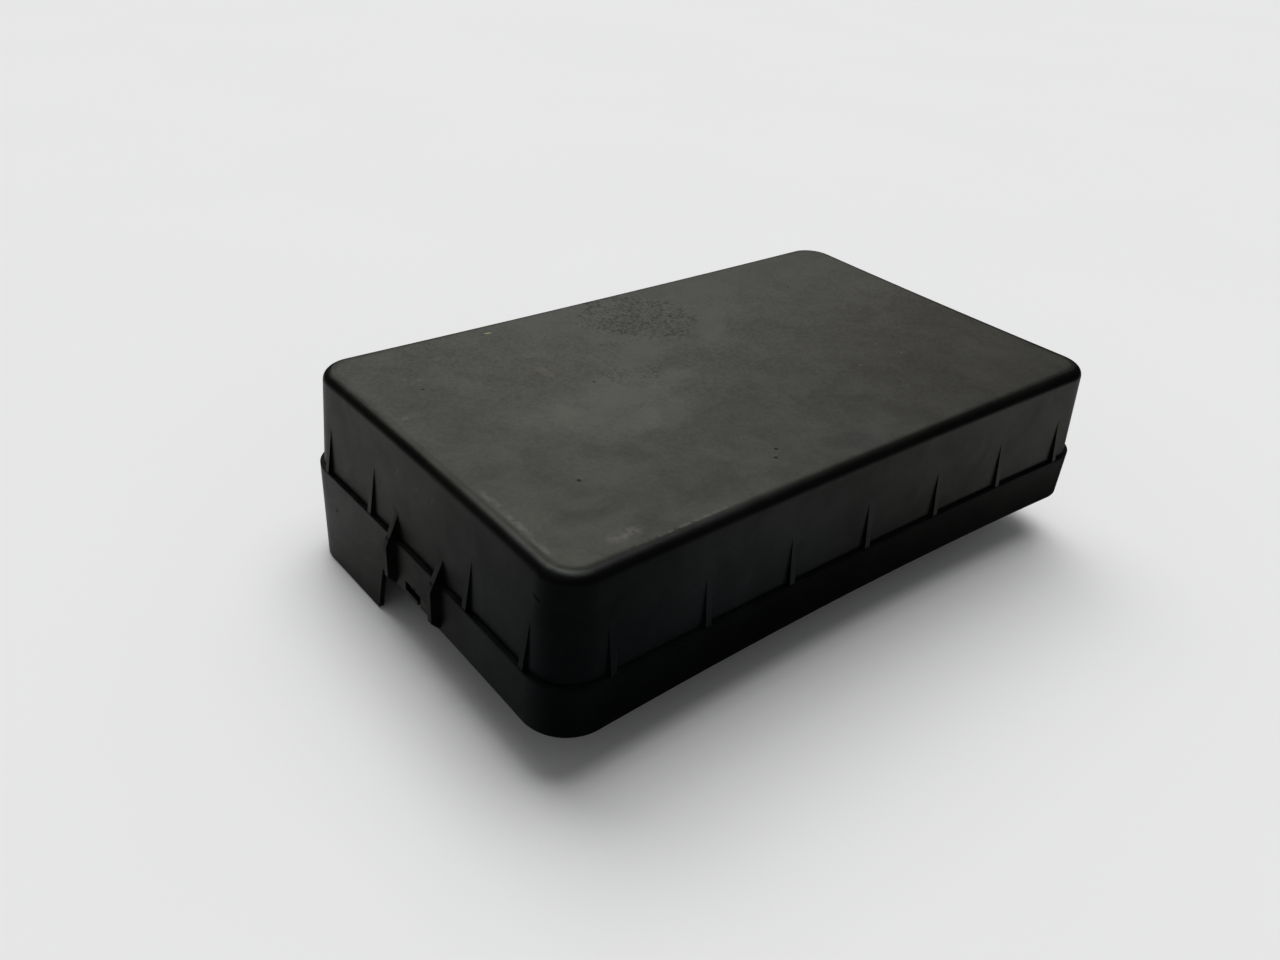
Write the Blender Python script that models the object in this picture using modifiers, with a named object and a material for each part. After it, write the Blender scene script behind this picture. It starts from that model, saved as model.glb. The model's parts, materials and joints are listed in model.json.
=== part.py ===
"""Low battery box: a moulded cover with a stepped, ribbed skirt, over a base tray on four rubber feet.

The cover lifts straight off the tray.  Two sliding latch bolts lock it through a window in each short
side.  A bar, two rods and two thumb nuts hold the battery down in the tray.

Frame: +X along the box, +Y to the rear, +Z up, origin on the floor under the middle of the box.
"""
import math

import bmesh
import bpy
from mathutils import Matrix, Vector

MM = 0.001
GAP = 0.3 * MM                       # clearance left between pieces that touch

# cover
LENGTH = 360 * MM                    # over the skirt, along X
WIDTH = 222 * MM                     # over the skirt, along Y
CORNER_RADIUS = 23 * MM
WALL = 2.5 * MM
TOP_Z = 104 * MM
STEP_Z = 54 * MM                     # the ledge between the upper wall and the skirt
SKIRT_BOTTOM_Z = 28.6 * MM
FLAP_BOTTOM_Z = 1 * MM
LEDGE = 2.1 * MM
TOP_DRAFT = 3.0 * MM                 # how far the upper wall leans in by the top edge
TOP_EDGE_RADIUS = 5.2 * MM
# how far the middle of each long wall bows in, from free edge to top
BOW_FREE_EDGE = 4.8 * MM
BOW_STEP = 3.3 * MM
BOW_TOP = 1.7 * MM
BOW_SHORT_WALL = 1.4 * MM
# stiffening gussets that stand on the ledge
GUSSET_THICKNESS = 3.0 * MM
GUSSET_HEIGHT = 25 * MM
LONG_WALL_GUSSETS = 7
LONG_WALL_PITCH = 50.4 * MM
SHORT_WALL_GUSSET_Y = (42.5 * MM, 86 * MM)
# the pair of deep ribs on each short wall, and the plate with the latch window between them
RIB_THICKNESS = 3.0 * MM
RIB_Y = 20 * MM
RIB_PROUD = 4.0 * MM
RIB_TIP_RISE = 11.5 * MM
RIB_KNEE_DROP = 3.5 * MM
RIB_CHAMFER_DROP = 20.5 * MM
RIB_FOOT_DROP = 25 * MM
PLATE_BOTTOM_Z = 29.2 * MM
WINDOW_Y = 2.4 * MM
WINDOW_WIDTH = 13.6 * MM
WINDOW_Z = (31.2 * MM, 36.2 * MM)
LIP_SPLIT = 2.5 * MM
# the flap on the rear half of the left end
FLAP_END_Y = (32 * MM, 39 * MM)      # its slanted end, at the skirt edge and at the bottom
FLAP_REAR_X = (-104 * MM, -112 * MM)

# base tray
TRAY_CLEARANCE = 0.3 * MM
TRAY_BOTTOM_Z = 29.5 * MM
TRAY_TOP_Z = 49.1 * MM
TRAY_WALL = 2.5 * MM
TRAY_EDGE_RADIUS = 3.0 * MM
FLOOR_Z = TRAY_BOTTOM_Z + TRAY_WALL
END_STOP_X = 152.5 * MM
SEAL_HEIGHT = 1.8 * MM
SEAL_WIDTH = 2.3 * MM

# rubber feet under the tray
FOOT_XY = (120 * MM, 60 * MM)
FOOT_RADIUS = 12 * MM
BOSS_RADIUS = 11 * MM
BOSS_BOTTOM_Z = 27.5 * MM
SOCKET_RADIUS = 2.3 * MM              # across the corners of the 4 mm hexagon socket
SOCKET_DEPTH = 2 * MM

# latches, drawn for the left end
LATCH_TRAVEL = 5.0 * MM
BOLT_WIDTH = 11 * MM
BOLT_Z = (32.7 * MM, 35.7 * MM)
BOLT_TIP_X = -175.4 * MM
BOLT_TAIL_X = -158 * MM
TAB_X = (-166 * MM, -163 * MM)
TAB_BOTTOM_Z = 22 * MM
GUIDE_X = (-172 * MM, -156.5 * MM)
GUIDE_HALF_WIDTH = 12 * MM
GUIDE_TOP_Z = 38.5 * MM
GUIDE_SCREW_Y = 9 * MM
CROSS_RECESS_REACH = 1.5 * MM
CROSS_RECESS_HALF_WIDTH = 0.35 * MM
CROSS_RECESS_DEPTH = 1.1 * MM
RECESS_TURN = math.radians(20)        # where the screws happened to stop

# battery hold-down
BAY_LENGTH = 300 * MM
BAY_WIDTH = 168 * MM
MAT_THICKNESS = 1.2 * MM
ROD_Y = 93 * MM
ROD_RADIUS = 2.5 * MM
ROD_TOP_Z = 88 * MM
HOLE_RADIUS = ROD_RADIUS + GAP
BAR_WIDTH = 30 * MM
BAR_SHEET = 2 * MM
BAR_BEND_RADIUS = 3 * MM              # outer side of the bend
BAR_TOP_Z = 98 * MM
BAR_FLANGE_Z = 76 * MM
BAR_LEG_Y = 85.4 * MM
BAR_END_Y = 98.6 * MM
PAD_THICKNESS = 2 * MM
WASHER_RADIUS = 4.8 * MM
WASHER_THICKNESS = 1.0 * MM
THUMB_NUT_RADIUS = 5.0 * MM
THUMB_NUT_HEIGHT = 7 * MM
THUMB_COLLAR_RADIUS = 4.3 * MM
THUMB_COLLAR_HEIGHT = 2 * MM

# cable and vent fittings in the tray floor
FITTING_X = 161 * MM
CABLE_GROMMET_Y = (50 * MM, 76 * MM)
VENT_Y = 60 * MM

ROUND_STEPS = 24
BEND_STEPS = 4

MATERIALS = {
    "black_cover": ((0.030, 0.031, 0.028), 0.50, 0.0),
    "black_tray": ((0.022, 0.022, 0.023), 0.60, 0.0),
    "black_rubber": ((0.015, 0.015, 0.016), 0.85, 0.0),
    "grey_foam": ((0.050, 0.050, 0.052), 0.95, 0.0),
    "latch_plastic": ((0.060, 0.062, 0.065), 0.45, 0.0),
    "zinc_steel": ((0.62, 0.62, 0.60), 0.35, 1.0),
    "painted_bar": ((0.040, 0.040, 0.042), 0.40, 0.6),
}


def clear_scene():
    """Remove every object of the open scene."""
    for old in list(bpy.data.objects):
        bpy.data.objects.remove(old)


def new_collection(name):
    """Return a new collection linked to the scene."""
    collection = bpy.data.collections.new(name)
    bpy.context.scene.collection.children.link(collection)
    return collection


def make_materials():
    """Return a Principled material for each entry of MATERIALS."""
    made = {}
    for name, (colour, roughness, metallic) in MATERIALS.items():
        material = bpy.data.materials.new(name)
        material.use_nodes = True
        shader = material.node_tree.nodes["Principled BSDF"]
        shader.inputs["Base Color"].default_value = (*colour, 1.0)
        shader.inputs["Roughness"].default_value = roughness
        shader.inputs["Metallic"].default_value = metallic
        material.diffuse_color = (*colour, 1.0)
        made[name] = material
    return made


def add_object(name, mesh, collection, material=None, location=(0, 0, 0)):
    """Link a mesh as an object, smooth with sharp edges kept."""
    if material is not None:
        mesh.materials.clear()
        mesh.materials.append(material)
        mesh.shade_smooth()
        mesh.set_sharp_from_angle(angle=math.radians(35))
    obj = bpy.data.objects.new(name, mesh)
    obj.location = location
    collection.objects.link(obj)
    return obj


def as_cutter(obj):
    """Hide a guide shape from renders and draw it as wire."""
    obj.hide_render = True
    obj.display_type = "WIRE"
    return obj


def boolean(obj, other, operation):
    """Add an exact Boolean modifier."""
    modifier = obj.modifiers.new(operation.lower() + "_" + other.name, "BOOLEAN")
    modifier.operation = operation
    modifier.solver = "EXACT"
    modifier.object = other


def box_mesh(name, low, high):
    """Return a box mesh between two corners."""
    bm = bmesh.new()
    bmesh.ops.create_cube(bm, size=1.0)
    size = Vector(high) - Vector(low)
    centre = (Vector(high) + Vector(low)) / 2
    bmesh.ops.transform(bm, matrix=Matrix.Translation(centre) @ Matrix.Diagonal((*size, 1.0)), verts=bm.verts)
    mesh = bpy.data.meshes.new(name)
    bm.to_mesh(mesh)
    bm.free()
    return mesh


def cylinder_mesh(name, radius, low_z, high_z):
    """Return an upright cylinder mesh about the Z axis."""
    bm = bmesh.new()
    bmesh.ops.create_cone(bm, cap_ends=True, segments=ROUND_STEPS, radius1=radius, radius2=radius,
                          depth=high_z - low_z)
    bmesh.ops.translate(bm, vec=(0, 0, (low_z + high_z) / 2), verts=bm.verts)
    mesh = bpy.data.meshes.new(name)
    bm.to_mesh(mesh)
    bm.free()
    return mesh


def extruded_mesh(name, outlines, depth, matrix=None):
    """Return a closed mesh: a filled 2D outline (with any holes) extruded by depth, centred on it."""
    curve = bpy.data.curves.new(name, "CURVE")
    curve.dimensions = "2D"
    curve.fill_mode = "BOTH"
    curve.extrude = depth / 2
    for outline in outlines:
        spline = curve.splines.new("POLY")
        spline.points.add(len(outline) - 1)
        for point, (x, y) in zip(spline.points, outline):
            point.co = (x, y, 0, 1)
        spline.use_cyclic_u = True
    carrier = bpy.data.objects.new(name, curve)
    bpy.context.scene.collection.objects.link(carrier)
    bpy.context.view_layer.update()
    mesh = bpy.data.meshes.new_from_object(carrier.evaluated_get(bpy.context.evaluated_depsgraph_get()))
    bpy.data.objects.remove(carrier)
    bpy.data.curves.remove(curve)
    bm = bmesh.new()
    bm.from_mesh(mesh)
    bmesh.ops.remove_doubles(bm, verts=bm.verts, dist=MM / 100)
    bmesh.ops.recalc_face_normals(bm, faces=bm.faces)
    if matrix is not None:
        bmesh.ops.transform(bm, matrix=matrix, verts=bm.verts)
    bm.to_mesh(mesh)
    bm.free()
    mesh.name = name
    return mesh


def joined_mesh(name, meshes):
    """Return one mesh that holds the given meshes side by side."""
    bm = bmesh.new()
    for mesh in meshes:
        bm.from_mesh(mesh)
    joined = bpy.data.meshes.new(name)
    bm.to_mesh(joined)
    bm.free()
    return joined


def turned_object(name, profile, collection, material, location=(0, 0, 0), steps=ROUND_STEPS):
    """Turn a profile of (radius, height) points about Z; the outer side runs from top to bottom."""
    mesh = bpy.data.meshes.new(name)
    points = [(radius, 0, height) for radius, height in profile]
    mesh.from_pydata(points, [(i, i + 1) for i in range(len(points) - 1)], [])
    obj = add_object(name, mesh, collection, material, location)
    screw = obj.modifiers.new("turn", "SCREW")
    screw.steps = steps
    screw.render_steps = steps
    screw.use_merge_vertices = True
    screw.merge_threshold = MM / 20
    screw.use_smooth_shade = False
    return obj


def circle(radius, count=ROUND_STEPS, centre=(0.0, 0.0), phase=0.0):
    """Return points around a circle."""
    turns = [2 * math.pi * (i + phase) / count for i in range(count)]
    return [(centre[0] + radius * math.cos(t), centre[1] + radius * math.sin(t)) for t in turns]


# ---------------------------------------------------------------- the bowed, rounded wall outline

def wall_outline(inset, bow_long, bow_short=BOW_SHORT_WALL):
    """Return the box outline at an inset from the skirt's outer face, with its walls bowed in."""
    half_x = LENGTH / 2 - inset
    half_y = WIDTH / 2 - inset
    radius = CORNER_RADIUS - inset
    side_steps = {0: 14, 1: 8}
    points = []
    for quarter in range(4):
        sign_x = 1 if quarter in (0, 3) else -1
        sign_y = 1 if quarter in (0, 1) else -1
        centre = (sign_x * (half_x - radius), sign_y * (half_y - radius))
        for i in range(9):
            angle = math.pi / 2 * (quarter + i / 8)
            points.append((centre[0] + radius * math.cos(angle), centre[1] + radius * math.sin(angle)))
        count = side_steps[quarter % 2]
        start = points[-1]
        run = 2 * (half_x - radius) if quarter % 2 == 0 else 2 * (half_y - radius)
        heading = math.pi / 2 * (quarter + 2)
        for i in range(1, count):
            step = run * i / count
            points.append((start[0] + step * math.cos(heading), start[1] + step * math.sin(heading)))
    return [bowed(x, y, half_x, half_y, bow_long, bow_short) for x, y in points]


def bowed(x, y, half_x, half_y, bow_long, bow_short):
    """Pull a point of the straight outline in, most at the middle of each wall."""
    pull_y = bow_long / half_y * (1 - min(1.0, abs(x) / half_x) ** 2)
    pull_x = bow_short / half_x * (1 - min(1.0, abs(y) / half_y) ** 2)
    return x * (1 - pull_x), y * (1 - pull_y)


def ringed_mesh(name, rings, cap_first=False, cap_last=False):
    """Loft a skin through (height, outline) rings listed upwards, with its outside facing out."""
    bm = bmesh.new()
    loops = [[bm.verts.new((x, y, z)) for x, y in outline] for z, outline in rings]
    for below, above in zip(loops, loops[1:]):
        count = len(below)
        for i in range(count):
            j = (i + 1) % count
            bm.faces.new((below[i], below[j], above[j], above[i]))
    if cap_first:
        bm.faces.new(list(reversed(loops[0])))
    if cap_last:
        bm.faces.new(loops[-1])
    mesh = bpy.data.meshes.new(name)
    bm.to_mesh(mesh)
    bm.free()
    return mesh


def solidify(obj, thickness):
    """Give an open skin its wall thickness, inwards."""
    modifier = obj.modifiers.new("wall", "SOLIDIFY")
    modifier.thickness = thickness
    modifier.offset = -1
    modifier.use_even_offset = True


def bow_at(z):
    """Return the long wall's bow at a height on the cover."""
    if z <= STEP_Z:
        share = max(0.0, (z - SKIRT_BOTTOM_Z) / (STEP_Z - SKIRT_BOTTOM_Z))
        return BOW_FREE_EDGE + (BOW_STEP - BOW_FREE_EDGE) * share
    return BOW_STEP + (BOW_TOP - BOW_STEP) * (z - STEP_Z) / (TOP_Z - STEP_Z)


def upper_inset(z):
    """Return how far the upper wall's face stands inside the skirt's face."""
    return LEDGE + TOP_DRAFT * (z - STEP_Z) / (TOP_Z - TOP_EDGE_RADIUS - STEP_Z)


def bow_share(along, span):
    """Return the share of a wall's bow that is reached at a distance from its middle."""
    return 1 - (2 * along / span) ** 2


def skirt_half_width(x):
    """Return the distance from the middle to the skirt's outer face on a long wall, at the step."""
    return WIDTH / 2 - BOW_STEP * bow_share(x, LENGTH)


def skirt_half_length(y):
    """Return the distance from the middle to the skirt's outer face on a short wall."""
    return LENGTH / 2 - BOW_SHORT_WALL * bow_share(y, WIDTH)


# ---------------------------------------------------------------- cover

def cover_skin():
    """Loft the cover's outer skin: skirt, ledge, drafted wall, rounded edge and flat top."""
    rings = [(z, wall_outline(0.0, bow_at(z))) for z in (FLAP_BOTTOM_Z, SKIRT_BOTTOM_Z, STEP_Z)]
    shoulder_z = TOP_Z - TOP_EDGE_RADIUS
    wall_steps = 3
    for i in range(wall_steps + 1):
        z = STEP_Z + (shoulder_z - STEP_Z) * i / wall_steps
        rings.append((z, wall_outline(upper_inset(z), bow_at(z))))
    edge_steps = 5
    for i in range(1, edge_steps + 1):
        angle = math.pi / 2 * i / edge_steps
        inset = upper_inset(shoulder_z) + TOP_EDGE_RADIUS * (1 - math.cos(angle))
        z = shoulder_z + TOP_EDGE_RADIUS * math.sin(angle)
        rings.append((z, wall_outline(inset, bow_at(z))))
    return ringed_mesh("cover", rings, cap_last=True)


def wall_frame(x, y, heading):
    """Return the matrix that puts a (outward, up) outline on a wall point, extruded along the wall."""
    stand_up = Matrix.Rotation(math.pi / 2, 4, "X")
    return Matrix.Translation((x, y, STEP_Z)) @ Matrix.Rotation(heading, 4, "Z") @ stand_up


def gusset_outline(relief):
    """Outline of a gusset, outward from the skirt's face and up from the ledge.

    relief is how much further out the bowed wall stands at the gusset's tip than at its foot.
    """
    tip = relief - upper_inset(STEP_Z + GUSSET_HEIGHT)
    over = 1.1
    foot = -0.1 * MM
    back = -LEDGE - WALL * 0.6
    rise = GUSSET_HEIGHT * over
    return [(foot, -0.8 * MM), (foot, 0.0), (foot + (tip - foot) * over, rise), (back - MM, rise),
            (back, -0.8 * MM)]


def rib_outline():
    """Outline of a deep rib, outward from the skirt's face and up from the ledge."""
    tip_out = -upper_inset(STEP_Z + RIB_TIP_RISE)
    over = 1.08
    top_out = RIB_PROUD + (tip_out - RIB_PROUD) * over
    top_rise = -RIB_KNEE_DROP + (RIB_TIP_RISE + RIB_KNEE_DROP) * over
    back = -LEDGE - WALL * 0.6
    in_skirt = -WALL / 2
    return [(RIB_PROUD, -RIB_CHAMFER_DROP), (RIB_PROUD, -RIB_KNEE_DROP), (top_out, top_rise),
            (back, top_rise), (back, -1.5 * MM), (in_skirt, -1.5 * MM), (in_skirt, -RIB_FOOT_DROP),
            (0.0, -RIB_FOOT_DROP)]


def cover_ribs():
    """Return one mesh of every gusset and rib around the cover."""
    meshes = []
    bow_change = BOW_STEP - bow_at(STEP_Z + GUSSET_HEIGHT)
    for side in (-1, 1):
        heading_long = side * math.pi / 2
        for i in range(LONG_WALL_GUSSETS):
            x = (i - (LONG_WALL_GUSSETS - 1) / 2) * LONG_WALL_PITCH
            gusset = gusset_outline(bow_change * bow_share(x, LENGTH))
            frame = wall_frame(x, side * skirt_half_width(x), heading_long)
            meshes.append(extruded_mesh("gusset", [gusset], GUSSET_THICKNESS, frame))
        heading_short = 0.0 if side > 0 else math.pi
        for away in SHORT_WALL_GUSSET_Y:
            for y in (-away, away):
                frame = wall_frame(side * skirt_half_length(y), y, heading_short)
                meshes.append(extruded_mesh("gusset", [gusset_outline(0.0)], GUSSET_THICKNESS, frame))
        for y in (-RIB_Y, RIB_Y):
            frame = wall_frame(side * skirt_half_length(y), y, heading_short)
            meshes.append(extruded_mesh("rib", [rib_outline()], RIB_THICKNESS, frame))
    return joined_mesh("cover_ribs", meshes)


def skirt_trims():
    """Return the cutters that shorten the deep skirt to its normal depth outside the flap."""
    beyond = 20 * MM
    low = FLAP_BOTTOM_Z - beyond
    front_y = -WIDTH / 2 - beyond
    end_y_top, end_y_low = FLAP_END_Y
    slope_y = (end_y_low - end_y_top) / (SKIRT_BOTTOM_Z - FLAP_BOTTOM_Z)
    front = [(front_y, low), (end_y_low + slope_y * beyond, low), (end_y_top, SKIRT_BOTTOM_Z),
             (front_y, SKIRT_BOTTOM_Z)]
    along_x = Matrix.Rotation(math.pi / 2, 4, "Z") @ Matrix.Rotation(math.pi / 2, 4, "X")
    far_x = LENGTH / 2 + beyond
    top_x, low_x = FLAP_REAR_X
    slope_x = (low_x - top_x) / (SKIRT_BOTTOM_Z - FLAP_BOTTOM_Z)
    rear = [(low_x + slope_x * beyond, low), (far_x, low), (far_x, SKIRT_BOTTOM_Z), (top_x, SKIRT_BOTTOM_Z)]
    along_y = Matrix.Translation((0, WIDTH / 2, 0)) @ Matrix.Rotation(math.pi / 2, 4, "X")
    return [extruded_mesh("front_trim", [front], 2 * far_x, along_x),
            extruded_mesh("rear_trim", [rear], 3 * WIDTH / 4, along_y)]


def latch_cutters(side):
    """Return the cutters of one end's plate edge, latch window and split lip."""
    inner = side * (LENGTH / 2 - 10 * MM)
    outer = side * (LENGTH / 2 + RIB_PROUD + MM)
    low_x, high_x = sorted((inner, outer))
    face = side * (LENGTH / 2 + MM)
    face_low, face_high = sorted((inner, face))
    plate_half = RIB_Y - RIB_THICKNESS / 2 - GAP
    low_z = SKIRT_BOTTOM_Z - MM
    half = WINDOW_WIDTH / 2
    centre = -side * WINDOW_Y
    split_edges = sorted((centre + side * half, centre + side * (half - LIP_SPLIT)))
    return [
        box_mesh("plate_edge_cut", (low_x, -plate_half, low_z), (high_x, plate_half, PLATE_BOTTOM_Z)),
        box_mesh("window_cut", (face_low, centre - half, WINDOW_Z[0]),
                 (face_high, centre + half, WINDOW_Z[1])),
        box_mesh("lip_cut", (face_low, split_edges[0], low_z), (face_high, split_edges[1], WINDOW_Z[0] + MM)),
    ]


def make_cover(parts, cutters, materials):
    """The one-piece moulded cover."""
    cover = add_object("cover", cover_skin(), parts, materials["black_cover"])
    solidify(cover, WALL)
    boolean(cover, as_cutter(add_object("cover_ribs", cover_ribs(), cutters)), "UNION")
    trims = skirt_trims() + latch_cutters(-1) + latch_cutters(1)
    for mesh in trims:
        boolean(cover, as_cutter(add_object(mesh.name, mesh, cutters)), "DIFFERENCE")


# ---------------------------------------------------------------- base tray and seal

def tray_outline(inset):
    """Outline inside the skirt that still clears the bowed free edge when the cover lifts."""
    return wall_outline(WALL + TRAY_CLEARANCE + inset, BOW_FREE_EDGE)


def foot_places():
    """Yield the name ending and the place of each foot."""
    for end, sign_x in (("left", -1), ("right", 1)):
        for row, sign_y in (("front", -1), ("rear", 1)):
            yield row + "_" + end, (sign_x * FOOT_XY[0], sign_y * FOOT_XY[1])


def tray_additions():
    """Return the bosses over the feet and the end stops of the battery bay."""
    meshes = []
    for _, (x, y) in foot_places():
        boss = cylinder_mesh("boss", BOSS_RADIUS, BOSS_BOTTOM_Z, TRAY_BOTTOM_Z + MM)
        boss.transform(Matrix.Translation((x, y, 0)))
        meshes.append(boss)
    for side in (-1, 1):
        low = (side * END_STOP_X - MM, -36 * MM, FLOOR_Z - MM)
        high = (side * END_STOP_X + MM, 36 * MM, FLOOR_Z + 9 * MM)
        meshes.append(box_mesh("end_stop", low, high))
    return joined_mesh("tray_additions", meshes)


def tray_holes():
    """Return the mesh of every hole cut through the tray."""
    meshes = []
    through = (BOSS_BOTTOM_Z - MM, FLOOR_Z + MM)

    def drill(radius, x, y):
        hole = cylinder_mesh("hole", radius, *through)
        hole.transform(Matrix.Translation((x, y, 0)))
        meshes.append(hole)

    for side in (-1, 1):
        drill(HOLE_RADIUS, 0.0, side * ROD_Y)
        latch_y = -side * WINDOW_Y
        wall_low, wall_high = sorted((side * (LENGTH / 2 - 12 * MM), side * LENGTH / 2))
        half = BOLT_WIDTH / 2 + 2 * GAP
        meshes.append(box_mesh("nose_hole", (wall_low, latch_y - half, BOLT_Z[0] - GAP),
                               (wall_high, latch_y + half, BOLT_Z[1] + GAP)))
        slot = sorted((side * (-TAB_X[0] + LATCH_TRAVEL + GAP), side * (-TAB_X[1] - GAP)))
        meshes.append(box_mesh("tab_slot", (slot[0], latch_y - half, through[0]),
                               (slot[1], latch_y + half, FLOOR_Z + GAP / 2)))
        for shift in (-GUIDE_SCREW_Y, GUIDE_SCREW_Y):
            drill(1.5 * MM + GAP, side * guide_screw_x(), latch_y + shift)
    for y in CABLE_GROMMET_Y:
        drill(8 * MM, -FITTING_X, y)
    drill(5 * MM, FITTING_X, VENT_Y)
    return joined_mesh("tray_holes", meshes)


def cross_outline():
    """Outline of the cross recess in a latch screw's head."""
    reach, half = CROSS_RECESS_REACH, CROSS_RECESS_HALF_WIDTH
    arm = [(reach, -half), (reach, half), (half, half)]
    outline = []
    for _ in range(4):
        outline += arm
        arm = [(-y, x) for x, y in arm]
    return outline


def cut_recess(screw, outline, top, depth, cutters):
    """Sink a recess for the driver into the top of a screw's head."""
    overrun = MM / 2
    raised = Matrix.Translation((0, 0, top + (overrun - depth) / 2))
    mesh = extruded_mesh("recess", [outline], depth + overrun, raised @ Matrix.Rotation(RECESS_TURN, 4, "Z"))
    recess = add_object("recess_" + screw.name, mesh, cutters, None, screw.location)
    boolean(screw, as_cutter(recess), "DIFFERENCE")


def guide_screw_x():
    """Return how far a latch guide's screws stand from the middle of the box."""
    return -(GUIDE_X[0] + GUIDE_X[1]) / 2


def countersunk_profile(clearance):
    """Profile of the foot screws, grown sideways by a clearance for their seats."""
    head_height = 3.1 * MM
    overrun = 2 * clearance
    top = FLOOR_Z - 0.1 * MM + overrun
    neck = FLOOR_Z - 0.1 * MM - head_height
    shank = 3.0 * MM + clearance
    head = shank + 2.6 * MM * (head_height + overrun) / head_height
    low = 14 * MM - clearance
    return [(0, top), (head, top), (shank, neck), (shank, low), (0, low)]


def make_tray(parts, cutters, materials):
    """The shallow tray that carries the battery inside the skirt."""
    rings = []
    edge_steps = 3
    for i in range(edge_steps + 1):
        angle = math.pi / 2 * i / edge_steps
        inset = TRAY_EDGE_RADIUS * (1 - math.sin(angle))
        rings.append((TRAY_BOTTOM_Z + TRAY_EDGE_RADIUS * (1 - math.cos(angle)), tray_outline(inset)))
    rings.append((TRAY_TOP_Z, tray_outline(0.0)))
    tray = add_object("base_tray", ringed_mesh("base_tray", rings, cap_first=True), parts,
                      materials["black_tray"])
    solidify(tray, TRAY_WALL)
    boolean(tray, as_cutter(add_object("tray_additions", tray_additions(), cutters)), "UNION")
    boolean(tray, as_cutter(add_object("tray_holes", tray_holes(), cutters)), "DIFFERENCE")
    for name, (x, y) in foot_places():
        seat = turned_object("seat_" + name, countersunk_profile(GAP), cutters, None, (x, y, 0))
        boolean(tray, as_cutter(seat), "DIFFERENCE")


def make_seal(parts, materials):
    """The foam seal on the tray's rim, under the cover's ledge."""
    low = TRAY_TOP_Z + GAP
    inner = tray_outline(SEAL_WIDTH)
    outer = tray_outline(0.1 * MM)
    raised = Matrix.Translation((0, 0, low + SEAL_HEIGHT / 2))
    mesh = extruded_mesh("rim_seal", [outer, inner], SEAL_HEIGHT, raised)
    add_object("rim_seal", mesh, parts, materials["grey_foam"])


# ---------------------------------------------------------------- feet and fittings

def make_feet(parts, cutters, materials):
    """Four waisted rubber feet, each held by a countersunk screw from inside the tray."""
    top = BOSS_BOTTOM_Z - GAP
    bore = 3.0 * MM + GAP
    waist = FOOT_RADIUS - 1.5 * MM
    foot = [(0, 12 * MM), (bore, 12 * MM), (bore, top), (FOOT_RADIUS, top),
            (FOOT_RADIUS, top - 4 * MM), (waist, top - 6 * MM), (waist, 6 * MM),
            (FOOT_RADIUS, 4 * MM), (FOOT_RADIUS, 0), (0, 0)]
    profile = countersunk_profile(0.0)
    for name, (x, y) in foot_places():
        turned_object("foot_" + name, foot, parts, materials["black_rubber"], (x, y, 0))
        screw = turned_object("foot_screw_" + name, profile, parts, materials["zinc_steel"], (x, y, 0))
        cut_recess(screw, circle(SOCKET_RADIUS, 6), profile[0][1], SOCKET_DEPTH, cutters)


def make_fittings(parts, materials):
    """Cable grommets behind the flap, and the vent plug at the other end."""
    flange = 9.5 * MM
    neck = 8 * MM - GAP
    bore = 5 * MM
    above = FLOOR_Z + GAP
    below = TRAY_BOTTOM_Z - GAP
    lip = 2 * MM
    ring = [(bore, below - lip), (bore, above + lip), (flange - MM, above + lip), (flange, above + MM),
            (flange, above), (neck, above), (neck, below), (flange, below), (flange, below - MM),
            (flange - MM, below - lip), (bore, below - lip)]
    for name, y in zip(("inner", "outer"), CABLE_GROMMET_Y):
        turned_object("cable_grommet_" + name, ring, parts, materials["black_rubber"], (-FITTING_X, y, 0))
    stem = 5 * MM - GAP
    plug = [(0, above + 2.4 * MM), (5 * MM, above + 2.4 * MM), (7 * MM, above + 1.4 * MM), (7 * MM, above),
            (stem, above), (stem, below), (6 * MM, below), (4 * MM, below - 3 * MM), (0, below - 3 * MM)]
    turned_object("vent_plug", plug, parts, materials["black_rubber"], (FITTING_X, VENT_Y, 0))


# ---------------------------------------------------------------- latches

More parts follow.
